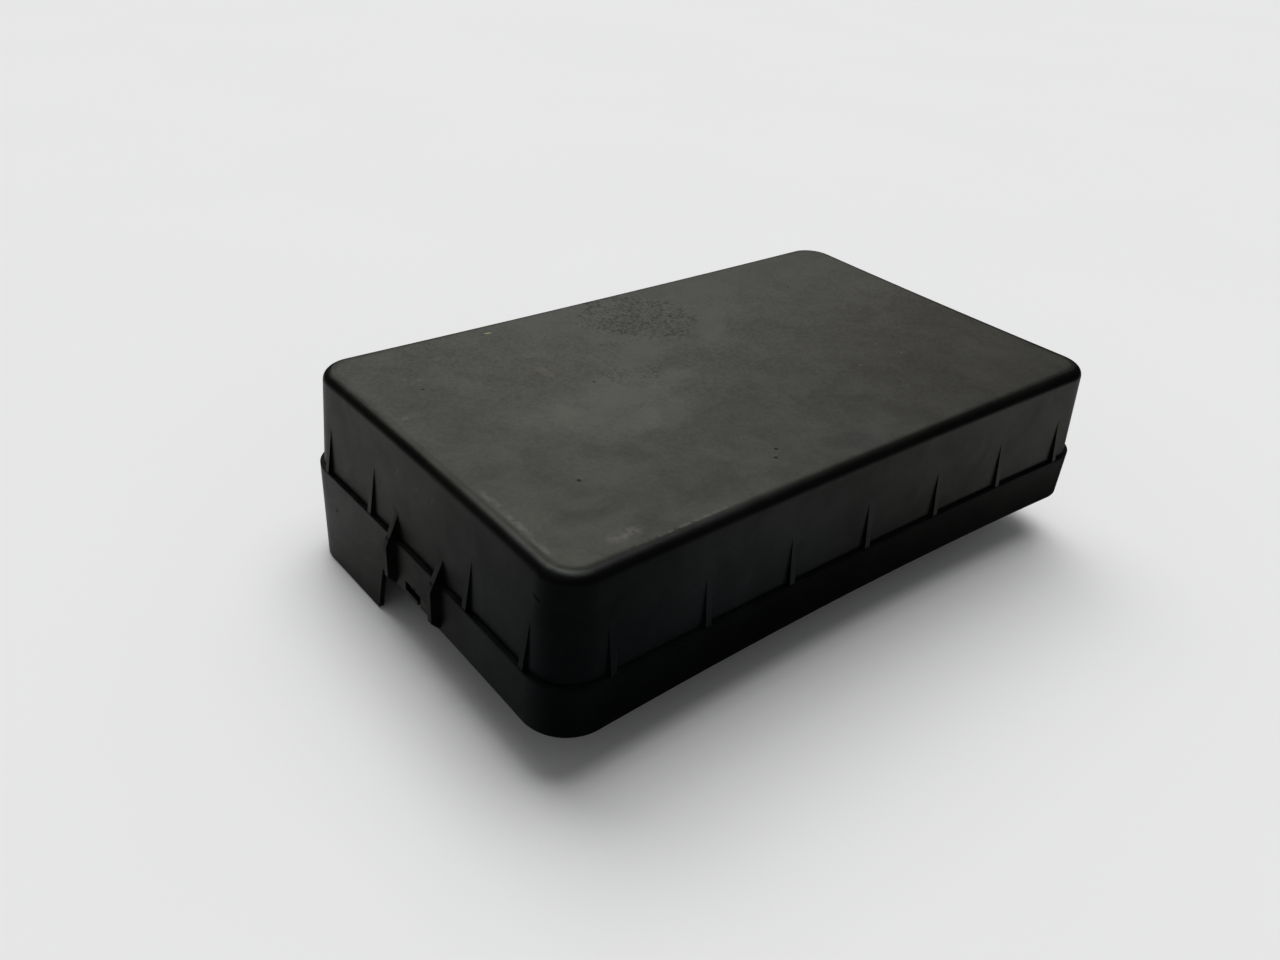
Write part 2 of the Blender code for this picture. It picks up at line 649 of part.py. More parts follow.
def make_latches(parts, cutters, materials):
    """A sliding bolt in a screwed guide at each end; the right end is the left one turned half round."""
    bolt_outline = [(BOLT_TIP_X, BOLT_Z[0]), (TAB_X[0], BOLT_Z[0]), (TAB_X[0], TAB_BOTTOM_Z),
                    (TAB_X[1], TAB_BOTTOM_Z), (TAB_X[1], BOLT_Z[0]), (BOLT_TAIL_X, BOLT_Z[0]),
                    (BOLT_TAIL_X, BOLT_Z[1]), (BOLT_TIP_X + MM, BOLT_Z[1]), (BOLT_TIP_X, BOLT_Z[1] - MM)]
    bolt_frame = Matrix.Translation((0, WINDOW_Y, 0)) @ Matrix.Rotation(math.pi / 2, 4, "X")
    tunnel = BOLT_WIDTH / 2 + GAP
    guide_low = FLOOR_Z + GAP
    roof = BOLT_Z[1] + GAP
    half = GUIDE_HALF_WIDTH
    chamfer = 1.5 * MM
    guide_outline = [(-half, guide_low), (-tunnel, guide_low), (-tunnel, roof), (tunnel, roof),
                     (tunnel, guide_low), (half, guide_low), (half, GUIDE_TOP_Z - chamfer),
                     (half - chamfer, GUIDE_TOP_Z), (-half + chamfer, GUIDE_TOP_Z),
                     (-half, GUIDE_TOP_Z - chamfer)]
    guide_middle = (GUIDE_X[0] + GUIDE_X[1]) / 2
    upright = Matrix.Rotation(math.pi / 2, 4, "Z") @ Matrix.Rotation(math.pi / 2, 4, "X")
    guide_frame = Matrix.Translation((guide_middle, WINDOW_Y, 0)) @ upright
    head_low = GUIDE_TOP_Z + GAP
    screw = [(0, head_low + 1.8 * MM), (2.0 * MM, head_low + 1.6 * MM), (2.8 * MM, head_low + 0.8 * MM),
             (2.8 * MM, head_low), (1.5 * MM, head_low), (1.5 * MM, TRAY_BOTTOM_Z - MM),
             (0, TRAY_BOTTOM_Z - MM)]
    for end, turn in (("left", 0.0), ("right", math.pi)):
        about = Matrix.Rotation(turn, 4, "Z")
        bolt = extruded_mesh("latch_bolt_" + end, [bolt_outline], BOLT_WIDTH, about @ bolt_frame)
        add_object("latch_bolt_" + end, bolt, parts, materials["latch_plastic"])
        mesh = extruded_mesh("latch_guide_" + end, [guide_outline], GUIDE_X[1] - GUIDE_X[0],
                             about @ guide_frame)
        guide = add_object("latch_guide_" + end, mesh, parts, materials["black_tray"])
        for row, shift in (("a", -GUIDE_SCREW_Y), ("b", GUIDE_SCREW_Y)):
            place = about @ Vector((guide_middle, WINDOW_Y + shift, 0))
            drill = cylinder_mesh("guide_drill", 1.5 * MM + GAP, guide_low - MM, GUIDE_TOP_Z + MM)
            hole = add_object("guide_drill_" + end + "_" + row, drill, cutters, None, place)
            boolean(guide, as_cutter(hole), "DIFFERENCE")
            fixing = turned_object("latch_screw_" + end + "_" + row, screw, parts, materials["zinc_steel"],
                                   place)
            cut_recess(fixing, cross_outline(), screw[0][1], CROSS_RECESS_DEPTH, cutters)


# ---------------------------------------------------------------- battery hold-down

def rounded_rectangle(half_x, half_y, radius, arc_steps=5):
    """Return a rectangle outline with rounded corners."""
    points = []
    for quarter, (sign_x, sign_y) in enumerate(((1, 1), (-1, 1), (-1, -1), (1, -1))):
        centre = (sign_x * (half_x - radius), sign_y * (half_y - radius))
        for i in range(arc_steps + 1):
            angle = math.pi / 2 * (quarter + i / arc_steps)
            points.append((centre[0] + radius * math.cos(angle), centre[1] + radius * math.sin(angle)))
    return points


def make_mat(parts, materials):
    """The rubber mat on the tray floor."""
    outline = rounded_rectangle(BAY_LENGTH / 2 - MM, BAY_WIDTH / 2 - MM, 6 * MM)
    middle = FLOOR_Z + GAP + MAT_THICKNESS / 2
    mesh = extruded_mesh("battery_mat", [outline], MAT_THICKNESS, Matrix.Translation((0, 0, middle)))
    add_object("battery_mat", mesh, parts, materials["black_rubber"])


def arc(centre, radius, start, end):
    """Points of an arc in (Y, Z), its angles in quarter turns."""
    angles = [math.pi / 2 * (start + (end - start) * i / BEND_STEPS) for i in range(BEND_STEPS + 1)]
    return [(centre[0] + radius * math.cos(angle), centre[1] + radius * math.sin(angle)) for angle in angles]


def mirrored(points):
    """The same points on the other side of the middle, in the opposite order."""
    return [(-y, z) for y, z in reversed(points)]


def bar_outline():
    """Outline of the bent bar in (Y, Z): a raised middle and two low flanges, one sheet thick all along."""
    under_top, under_flange = BAR_TOP_Z - BAR_SHEET, BAR_FLANGE_Z - BAR_SHEET
    outer, inner = BAR_BEND_RADIUS, BAR_BEND_RADIUS - BAR_SHEET
    leg, leg_outside = BAR_LEG_Y, BAR_LEG_Y + BAR_SHEET
    above = [(BAR_END_Y, under_flange), (BAR_END_Y, BAR_FLANGE_Z)]
    above += arc((leg_outside + inner, BAR_FLANGE_Z + inner), inner, 3, 2)
    above += arc((leg_outside - outer, BAR_TOP_Z - outer), outer, 0, 1)
    below = arc((leg - inner, under_top - inner), inner, 1, 0)
    below += arc((leg + outer, under_flange + outer), outer, 2, 3)
    return above + mirrored(above) + mirrored(below) + below


def make_hold_down(parts, cutters, materials):
    """The bar, its pad, the two rods and what is threaded on them."""
    across = Matrix.Rotation(math.pi / 2, 4, "Z") @ Matrix.Rotation(math.pi / 2, 4, "X")
    bar_mesh = extruded_mesh("hold_down_bar", [bar_outline()], BAR_WIDTH, across)
    bar = add_object("hold_down_bar", bar_mesh, parts, materials["painted_bar"])
    rod = [(0, ROD_TOP_Z), (ROD_RADIUS - 0.6 * MM, ROD_TOP_Z), (ROD_RADIUS, ROD_TOP_Z - 0.8 * MM),
           (ROD_RADIUS, TRAY_BOTTOM_Z - GAP), (6 * MM, TRAY_BOTTOM_Z - GAP), (6 * MM, 27.4 * MM),
           (4.5 * MM, 26 * MM), (0, 26 * MM)]
    hexagon = circle(4.6 * MM, count=6, phase=0.5)
    washer_low = BAR_FLANGE_Z + GAP
    nut_low = washer_low + WASHER_THICKNESS + GAP
    teeth = 20
    knurl = [point for i in range(teeth)
             for point in (circle(THUMB_NUT_RADIUS, teeth)[i],
                           circle(THUMB_NUT_RADIUS - 0.6 * MM, teeth, phase=0.5)[i])]
    bore = circle(HOLE_RADIUS)
    for name, y in (("front", -ROD_Y), ("rear", ROD_Y)):
        drill = cylinder_mesh("bar_drill", HOLE_RADIUS, BAR_FLANGE_Z - 5 * MM, BAR_FLANGE_Z + 2 * MM)
        hole = add_object("bar_drill_" + name, drill, cutters, None, (0, y, 0))
        boolean(bar, as_cutter(hole), "DIFFERENCE")
        turned_object("hold_down_rod_" + name, rod, parts, materials["zinc_steel"], (0, y, 0))
        for piece, outline, low, height in (
                ("rod_lock_nut_", hexagon, FLOOR_Z + GAP, 4 * MM),
                ("hold_down_washer_", circle(WASHER_RADIUS), washer_low, WASHER_THICKNESS),
                ("thumb_nut_", knurl, nut_low + THUMB_COLLAR_HEIGHT, THUMB_NUT_HEIGHT - THUMB_COLLAR_HEIGHT)):
            raised = Matrix.Translation((0, 0, low + height / 2))
            mesh = extruded_mesh(piece + name, [outline, bore], height, raised)
            fitting = add_object(piece + name, mesh, parts, materials["zinc_steel"], (0, y, 0))
        sunk = THUMB_COLLAR_HEIGHT + MM
        collar = extruded_mesh("collar", [circle(THUMB_COLLAR_RADIUS), bore], sunk,
                               Matrix.Translation((0, 0, nut_low + sunk / 2)))
        boolean(fitting, as_cutter(add_object("collar_" + name, collar, cutters, None, (0, y, 0))), "UNION")
    pad_top = BAR_TOP_Z - BAR_SHEET - GAP
    pad_outline = rounded_rectangle(BAR_WIDTH / 2 - 2 * MM, 70 * MM, 3 * MM)
    pad = extruded_mesh("hold_down_pad", [pad_outline], PAD_THICKNESS,
                        Matrix.Translation((0, 0, pad_top - PAD_THICKNESS / 2)))
    add_object("hold_down_pad", pad, parts, materials["black_rubber"])


def main():
    """Build every piece of the battery box."""
    clear_scene()
    parts = new_collection("battery_box")
    cutters = new_collection("cutters")
    materials = make_materials()
    make_cover(parts, cutters, materials)
    make_tray(parts, cutters, materials)
    make_seal(parts, materials)
    make_feet(parts, cutters, materials)
    make_fittings(parts, materials)
    make_latches(parts, cutters, materials)
    make_mat(parts, materials)
    make_hold_down(parts, cutters, materials)
    bpy.context.view_layer.update()


main()
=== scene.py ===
"""Looks of the battery box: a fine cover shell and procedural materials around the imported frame.

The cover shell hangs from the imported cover's top face; every other piece is the frame's own. Lengths are
metres, +X along the box, +Y to the rear, +Z up.
"""
import json
import math

import bmesh
import bpy
from mathutils import Matrix, Vector

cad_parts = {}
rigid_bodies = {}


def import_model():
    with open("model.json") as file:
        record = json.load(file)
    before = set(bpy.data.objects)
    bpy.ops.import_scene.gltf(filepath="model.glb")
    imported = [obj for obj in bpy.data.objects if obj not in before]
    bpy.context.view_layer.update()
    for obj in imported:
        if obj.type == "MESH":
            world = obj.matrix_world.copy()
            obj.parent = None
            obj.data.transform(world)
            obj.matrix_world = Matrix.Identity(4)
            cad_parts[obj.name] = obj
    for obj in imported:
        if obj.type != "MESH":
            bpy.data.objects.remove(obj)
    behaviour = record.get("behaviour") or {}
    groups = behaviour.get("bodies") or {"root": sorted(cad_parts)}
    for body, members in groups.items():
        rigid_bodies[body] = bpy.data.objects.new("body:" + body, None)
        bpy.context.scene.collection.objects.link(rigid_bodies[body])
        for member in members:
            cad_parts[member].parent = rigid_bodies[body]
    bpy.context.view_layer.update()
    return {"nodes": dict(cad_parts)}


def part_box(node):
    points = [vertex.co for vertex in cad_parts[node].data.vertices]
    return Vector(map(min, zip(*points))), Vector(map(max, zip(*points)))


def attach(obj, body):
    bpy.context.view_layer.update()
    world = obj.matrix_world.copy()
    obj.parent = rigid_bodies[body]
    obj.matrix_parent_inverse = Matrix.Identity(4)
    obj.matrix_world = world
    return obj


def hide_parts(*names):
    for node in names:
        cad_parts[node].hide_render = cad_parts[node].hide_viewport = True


MM = 0.001

# the cover's own moulding sizes
LENGTH = 360 * MM                    # over the skirt, before the walls bow in
WIDTH = 222 * MM
CORNER_RADIUS = 23 * MM
WALL = 2.5 * MM
LEDGE = 2.1 * MM
STEP_DOWN = 50 * MM                  # from the top face down to the ledge
SKIRT_DEPTH = 25.4 * MM              # from the ledge down to the skirt's free edge
FLAP_DEPTH = 53 * MM                 # from the ledge down to the flap's free edge
TOP_DRAFT = 3.0 * MM
TOP_EDGE_RADIUS = 5.2 * MM
BOW_FREE_EDGE = 4.8 * MM
BOW_STEP = 3.3 * MM
BOW_TOP = 1.7 * MM
BOW_SHORT_WALL = 1.4 * MM
GUSSET_THICKNESS = 3.0 * MM
GUSSET_HEIGHT = 25 * MM
LONG_WALL_GUSSETS = 7
LONG_WALL_PITCH = 50.4 * MM
SHORT_WALL_GUSSET_Y = (42.5 * MM, 86 * MM)
RIB_THICKNESS = 3.0 * MM
RIB_Y = 20 * MM
RIB_PROUD = 4.0 * MM
RIB_TIP_RISE = 11.5 * MM
RIB_KNEE_DROP = 3.5 * MM
RIB_CHAMFER_DROP = 20.5 * MM
RIB_FOOT_DROP = 25 * MM
PLATE_DROP = 24.8 * MM               # from the ledge down to the edge of the plate between the ribs
WINDOW_Y = 2.4 * MM
WINDOW_WIDTH = 13.6 * MM
WINDOW_DROP = (22.8 * MM, 17.8 * MM)  # from the ledge down to the window's sill and head
LIP_SPLIT = 2.5 * MM
FLAP_END_Y = (32 * MM, 39 * MM)
FLAP_REAR_X = (-104 * MM, -112 * MM)
GAP = 0.3 * MM

# fineness of the shell
CORNER_STEPS = 20
LONG_SIDE_STEPS = 36
SHORT_SIDE_STEPS = 22
EDGE_STEPS = 12
WALL_STEPS = 6
FILLET = 0.35 * MM

DUST_LEVEL = 0.061

# soft lights: where each comes from, its width in degrees and its strength
LIGHTS = {
    "overhead_softbox": ((0.17, 0.0, 0.98), 40, 1.00),
    "rear_left_softbox": ((0.05, 0.57, 0.82), 40, 0.74),
    "rear_right_softbox": ((0.33, 0.37, 0.87), 40, 0.68),
}
ROOM_LIGHT = 0.24
ROOM_LIGHT_IN_REFLECTIONS = 0.01
FLOOR_LEVEL = 0.86
# how pale the floor is in reflections, painted shade: dim by the camera and paler beyond the box, darkest
# right under its front as a painted shadow, and dark again far away
AWAY_FROM_CAMERA = (0.66, 0.75, 0.0)
MIRRORED_FLOOR_REACH = (-0.26, 0.06)
MIRRORED_FLOOR_LEVEL = (0.05, 0.46)
MIRRORED_FLOOR_FADE = (0.42, 0.75, 1.0, 0.10)
FRONT_SHADE, FRONT_SHADE_DEPTH = ((0.07, -0.125, 0.0), (0.42, 0.052, 1.0)), 0.95
FLOOR_HALF_SIZE = 20.0
FLOOR_ROUGHNESS = 0.75
FLOOR_VARIATION = 0.01
ROOM_COLOUR = (0.97, 0.98, 1.0, 1.0)

# camera: where it stands round the box, how it looks, and its lean
CAMERA_PLACE = Vector((-0.35336, -0.34842, 0.33914))
CAMERA_AZIMUTH = math.radians(-41.0)
CAMERA_ELEVATION = math.radians(31.9)
CAMERA_ROLL = math.radians(-4.55)
CAMERA_LENS = 30.1
CAMERA_SENSOR = 36.0


# ---------------------------------------------------------------- shader helpers

class Shader:
    """A material's node tree, built node by node."""

    def __init__(self, name):
        self.material = bpy.data.materials.new(name)
        self.material.use_nodes = True
        self.tree = self.material.node_tree
        self.body = self.tree.nodes["Principled BSDF"]
        self.place = self.add("ShaderNodeTexCoord").outputs["Object"]

    def add(self, kind, **settings):
        """Return a new node; settings are its own properties."""
        node = self.tree.nodes.new(kind)
        for key, value in settings.items():
            setattr(node, key, value)
        return node

    def link(self, source, target):
        self.tree.links.new(source, target)

    def put(self, socket, value):
        """Link a socket to another one, or set it to a constant."""
        if isinstance(value, bpy.types.NodeSocket):
            self.link(value, socket)
        else:
            socket.default_value = value

    def math(self, operation, a, b=0.0, clamp=False):
        node = self.add("ShaderNodeMath", operation=operation, use_clamp=clamp)
        self.put(node.inputs[0], a)
        self.put(node.inputs[1], b)
        return node.outputs[0]

    def spread(self, value, low, high, to_low=0.0, to_high=1.0):
        """Map a value from one range to another, smoothly and within the ends."""
        node = self.add("ShaderNodeMapRange", interpolation_type="SMOOTHSTEP")
        for i, item in enumerate((value, low, high, to_low, to_high)):
            self.put(node.inputs[i], item)
        return node.outputs[0]

    def stretched(self, scale):
        """Return the object coordinates, scaled by axis."""
        node = self.add("ShaderNodeMapping")
        self.link(self.place, node.inputs["Vector"])
        node.inputs["Scale"].default_value = scale
        return node.outputs["Vector"]

    def noise(self, scale, detail=4.0, rough=0.6, warp=0.0, vector=None):
        node = self.add("ShaderNodeTexNoise")
        self.put(node.inputs["Vector"], vector or self.place)
        node.inputs["Scale"].default_value = scale
        node.inputs["Detail"].default_value = detail
        node.inputs["Roughness"].default_value = rough
        node.inputs["Distortion"].default_value = warp
        return node.outputs["Fac"]

    def blob(self, centre, radii, turn=0.0, core=0.2, ragged=None, axis=2):
        """Return 1 at a point and 0 beyond an ellipsoid round it, turned about an axis; ragged frays it."""
        node = self.add("ShaderNodeMapping", vector_type="TEXTURE")
        self.link(self.place, node.inputs["Vector"])
        node.inputs["Location"].default_value = centre
        node.inputs["Rotation"].default_value[axis] = math.radians(turn)
        node.inputs["Scale"].default_value = radii
        length = self.add("ShaderNodeVectorMath", operation="LENGTH")
        self.link(node.outputs["Vector"], length.inputs[0])
        away = length.outputs["Value"]
        if ragged is not None:
            away = self.plus(away, self.spread(ragged, 0.2, 0.8, -0.3, 0.3))
        return self.spread(away, 1.0, core)

    def plus(self, a, b):
        return self.math("ADD", a, b)

    def minus(self, a, b, clamp=False):
        return self.math("SUBTRACT", a, b, clamp)

    def times(self, a, b, clamp=False):
        return self.math("MULTIPLY", a, b, clamp)

    def lowered(self, value, mask, share):
        """Return a value lowered by a share of itself where a mask is 1."""
        return self.times(value, self.minus(1.0, self.times(mask, share)))

    def patches(self, scale, detail, rough, low, high, warp=0.0, vector=None):
        """Return noise cut into patches: 0 below one of its levels and 1 above the other."""
        return self.spread(self.noise(scale, detail, rough, warp, vector), low, high)

    def largest(self, values):
        """Return the largest of several values."""
        result = values[0]
        for value in values[1:]:
            result = self.math("MAXIMUM", result, value)
        return result

    def mix(self, share, a, b):
        """Mix two colours or sockets."""
        node = self.add("ShaderNodeMix", data_type="RGBA")
        self.put(node.inputs["Factor"], share)
        self.put(node.inputs["A"], a)
        self.put(node.inputs["B"], b)
        return node.outputs["Result"]

    def bumps(self, layers):
        """Chain bump nodes: each layer is (height socket, depth in metres)."""
        normal = None
        for height, depth in layers:
            node = self.add("ShaderNodeBump")
            node.inputs["Strength"].default_value = 1.0
            node.inputs["Distance"].default_value = depth
            self.link(height, node.inputs["Height"])
            if normal is not None:
                self.link(normal, node.inputs["Normal"])
            normal = node.outputs["Normal"]
        self.link(normal, self.body.inputs["Normal"])

    def edge_wear(self, radius):
        """Return how much an edge stands out: the rounded normal against the true one."""
        rounded = self.add("ShaderNodeBevel", samples=4)
        rounded.inputs["Radius"].default_value = radius
        true = self.add("ShaderNodeNewGeometry")
        dot = self.add("ShaderNodeVectorMath", operation="DOT_PRODUCT")
        self.link(rounded.outputs["Normal"], dot.inputs[0])
        self.link(true.outputs["Normal"], dot.inputs[1])
        return self.spread(dot.outputs["Value"], 0.99, 0.80)


def grey(level, warm=0.0):
    """Return a nearly neutral colour; warm tips it towards yellow."""
    return (level * (1 + warm), level, level * (1 - warm), 1.0)


# ---------------------------------------------------------------- materials

# the top's flat face: half sizes and corner radius, and how far in from its rim the dust thins out
EDGE_INSET = LEDGE + TOP_DRAFT + TOP_EDGE_RADIUS
FLAT_HALF = (LENGTH / 2 - EDGE_INSET, WIDTH / 2 - EDGE_INSET)
FLAT_CORNER = CORNER_RADIUS - EDGE_INSET
RIM_FADE = 3.2 * MM
TOP_FACE_DEPTH = (0.16 * MM, 0.01 * MM)   # the dust starts and is full this far below the top

# marks on the cover's top face in mm: (centre, half sizes, turn in degrees)
PALE_SWEEPS = (((-66, 2), (50, 21), 4), ((-30, 31), (40, 13), 38), ((-33, 60), (36, 9), -55),
               ((26, 40), (26, 9), 48), ((-96, -6), (46, 20), -3), ((-68, -24), (50, 18), 2))
DULL_PATCHES = (((-4, 68), (38, 38), -25), ((-47, 13), (18, 13), 8))
BROWN_SIDE = ((150, -60), (230, 150), 15)
COOL_SPOT = ((2, -90), (24, 14), 0)
RUBS = (((-135, -91), (12, 5), 0), ((-108, -98.8), (42, 1.2), 0.8),
        ((-165, -42), (2.2, 13), 0), ((-165.6, -62), (2.2, 14), 0), ((-166.5, -80), (1.8, 9), 0),
        ((-120, 79), (5, 2.5), 0), ((-145, 67), (2.5, 1.5), -40), ((-139, 63), (3.5, 1.2), -55),
        ((-162, 34), (3.5, 3), 0), ((-80, 58), (3, 2), 0))
STAIN = ((-83, 41), (3.2, 8), 3)
YELLOW_FLECK = ((-83, 92.4), (2.4, 0.8), -10)
# dots on the top face in mm: (centre, radius)
PITS = (((-37.6, -75.7), 1.1), ((-43.2, -81.0), 1.1), ((106, 59), 0.9), ((-68.4, 19.0), 0.9),
        ((-141.8, 53.8), 0.8), ((-127, -50), 1.1), ((65, -61), 0.7), ((-115.3, 96), 0.7))
PALE_SPECKS = (((94, -38), 0.9), ((62, -37), 0.8), ((89.8, -23.8), 0.8))
# marks on the left wall and its flap in mm: (centre in y and z, half length and width, slope in degrees)
SCRAPES = (((19, 88), (7, 0.6), 130), ((8, 83), (3, 0.6), 25), ((3, 87), (5, 0.6), 133),
           ((-6, 85), (3, 0.6), 14), ((-11, 89), (5, 0.6), 116), ((25, 90), (4, 0.6), -6))
FLAP_SCRATCHES = (((70, 48), (8, 1.1), 13), ((44, 38), (8, 1.1), 16), ((82, 10), (6, 1.0), -26))
BLACK_SCRATCH = ((-90, 90), (3.8, 1.0), 19)
BLACK_DOT = ((78, 36), (1.6, 1.5), 0)
BEIGE_BITS = ((-8, 33), (3.0, 2.2), 0)
# how far from its surface a mark still paints
TOP_MARK_REACH, DOT_REACH, WALL_MARK_REACH = 4 * MM, 2 * MM, 14 * MM
FLAP_MIDDLE, FLAP_HALF_SIZES = (-0.180, 0.070, 0.032), (0.020, 0.055, 0.034)

# the dust film's thickness: what lies everywhere, what each kind of mark adds or takes, and its growth
# towards the rear and along x, which is dust and also painted light
FILM_EVEN, FILM_CLOUD, FILM_PALE, FILM_DULL = 0.52, 0.12, 0.36, 0.13
FILM_MOTTLE, FILM_DULL_MOTTLE, MOTTLE_MIDDLE = 0.36, 0.5, 0.5
# dust and painted light: the film grows towards the rear, lighter there, and thins at the left end, darker
# there
DUST_AND_LIGHT_AT_MIDDLE, DUST_AND_LIGHT_GAIN_TO_REAR = 1.05, 5.8
DUST_AND_LIGHT_BY_X = (-0.19, -0.03, 0.66, 1.15)   # from x, to x, and the film's share at each
RIM_FILM_BY_Y = (-0.06, 0.08, 0.42, 1.0)

# how strongly the cover mirrors: its cloudy range, a painted reflection as a patch where it mirrors more, and
# the shares that other places lose
SHEEN_RANGE = (0.38, 0.60)
REFLECTION_PATCH, REFLECTION_PATCH_GAIN = ((-0.085, -0.105, 0.080), (0.075, 0.030, 0.034)), 0.75
# painted shade: the shares of mirroring lost low on the flap, on the ledge, on the skirt and on the rounded
# top edge; the black marks' loss is their own dullness
FLAP_SHADE_LOSS, LEDGE_SHADE_LOSS, BLACK_MARK_LOSS = 0.14, 0.75, 0.85
SKIRT_SHADE_BY_X = (-0.19, -0.06, 0.18, 0.58)
ROUNDING_SHADE_BY_X = (-0.177, -0.160, 0.10, 0.70)
LEDGE_BLUR = 0.5 * MM
LEDGE_BAND = 1.1 * MM
# painted reflection tint: where the walls' reflections turn cool, and the warm and cool tints
COOL_REFLECTION_CORNER = ((-0.155, -0.110, 0.045), (0.230, 0.120, 0.090))
WARM_REFLECTION_TINT, COOL_REFLECTION_TINT = (0.99, 0.98, 0.84, 1.0), (0.74, 0.93, 1.0, 1.0)

# roughness: its cloudy range, what the top face and its dull patches add, and what worn edges lose
ROUGH_RANGE, ROUGH_TOP, ROUGH_DULL, ROUGH_WEAR = (0.35, 0.42), 0.10, 0.08, 0.06


def dusty(level, red, blue):
    """Return the tint of dust: a level, with its red and blue as shares of the green."""
    return (level * red, level, level * blue, 1.0)


def top_marks(s, marks, top_z, core=0.2, ragged=None):
    """Return how strongly any of the listed marks covers a point of the top face."""
    return s.largest([s.blob((x * MM, y * MM, top_z), (rx * MM, ry * MM, TOP_MARK_REACH), turn, core, ragged)
                      for (x, y), (rx, ry), turn in marks])


def wall_marks(s, marks, core=0.2, ragged=None):
    """Return how strongly any of the listed marks covers a point of the left wall."""
    return s.largest([s.blob((-LENGTH / 2, y * MM, z * MM), (WALL_MARK_REACH, half * MM, width * MM),
                             slope, core, ragged, axis=0) for (y, z), (half, width), slope in marks])


def dots(s, places, top_z):
    return s.largest([s.blob((x * MM, y * MM, top_z), (r * MM, r * MM, DOT_REACH)) for (x, y), r in places])


def from_middle(s, place):
    """Return how far a point lies beyond the top's straight-sided middle; the flat ends at FLAT_CORNER."""
    beyond = [s.math("MAXIMUM", s.minus(s.math("ABSOLUTE", place.outputs[axis]), half - FLAT_CORNER))
              for axis, half in zip("XY", FLAT_HALF)]
    return s.math("SQRT", s.plus(*[s.times(value, value) for value in beyond]))


def sheen_and_painted_light(s, place, on_top, inside_rim, top_z, black):
    """Set how strongly the cover mirrors: cloudy at random, with painted shade as duller reflection low on
    the flap, below and on the ledge and on the rounded top edge, and painted reflection as a brighter patch
    on the front wall and a cool tint at one corner.
    """
    x, z, ledge_z = place.outputs["X"], place.outputs["Z"], top_z - STEP_DOWN
    sheen = s.spread(s.noise(45, 5, 0.62, 0.5), 0.30, 0.70, *SHEEN_RANGE)
    # painted reflection: a brighter patch on the front wall
    sheen = s.times(sheen, s.plus(1.0, s.times(s.blob(*REFLECTION_PATCH), REFLECTION_PATCH_GAIN)))
    below = s.spread(z, ledge_z + LEDGE_BLUR, ledge_z - LEDGE_BLUR)
    on_ledge = s.spread(s.math("ABSOLUTE", s.minus(z, ledge_z)), LEDGE_BAND, LEDGE_BLUR)
    rounding = s.times(s.spread(z, top_z - TOP_EDGE_RADIUS, top_z - TOP_EDGE_RADIUS / 2),
                       s.minus(1.0, inside_rim))
    # painted shade: duller reflection low on the flap, below the ledge, on the ledge and on the rounded top
    # edge; the black marks are really duller
    for mask, loss in ((s.blob(FLAP_MIDDLE, FLAP_HALF_SIZES, core=0.6), FLAP_SHADE_LOSS),
                       (below, s.spread(x, *SKIRT_SHADE_BY_X)), (on_ledge, LEDGE_SHADE_LOSS),
                       (rounding, s.spread(x, *ROUNDING_SHADE_BY_X)), (black, BLACK_MARK_LOSS)):
        sheen = s.lowered(sheen, mask, loss)
    s.link(sheen, s.body.inputs["Specular IOR Level"])
    # painted reflection tint: warm all over, cool at one corner of the walls
    cool = s.times(s.blob(*COOL_REFLECTION_CORNER), s.minus(1.0, on_top))
    s.link(s.mix(cool, WARM_REFLECTION_TINT, COOL_REFLECTION_TINT), s.body.inputs["Specular Tint"])


def dust_film_and_light(s, place, cloud, pale, dull, mottle, inside_rim, on_top):
    """Return how much of the plastic the dust hides, with painted light in its growth towards the rear and
    its thinning at the left end.
    """
    speckle = s.minus(mottle, MOTTLE_MIDDLE)
    dust_and_light = s.plus(FILM_EVEN, s.times(cloud, FILM_CLOUD))
    dust_and_light = s.plus(dust_and_light, s.times(pale, FILM_PALE))
    dust_and_light = s.minus(dust_and_light, s.times(dull, FILM_DULL))
    dust_and_light = s.plus(dust_and_light, s.times(speckle, FILM_MOTTLE))
    dust_and_light = s.plus(dust_and_light, s.times(s.times(dull, speckle), FILM_DULL_MOTTLE))
    # dust and painted light: thicker towards the rear and thinner at the left end
    to_rear = s.plus(DUST_AND_LIGHT_AT_MIDDLE, s.times(place.outputs["Y"], DUST_AND_LIGHT_GAIN_TO_REAR))
    dust_and_light = s.times(dust_and_light, s.times(to_rear, s.spread(place.outputs["X"], *DUST_AND_LIGHT_BY_X)))
    at_rim = s.math("MAXIMUM", inside_rim, s.spread(place.outputs["Y"], *RIM_FILM_BY_Y))
    return s.times(dust_and_light, s.times(at_rim, on_top), clamp=True)


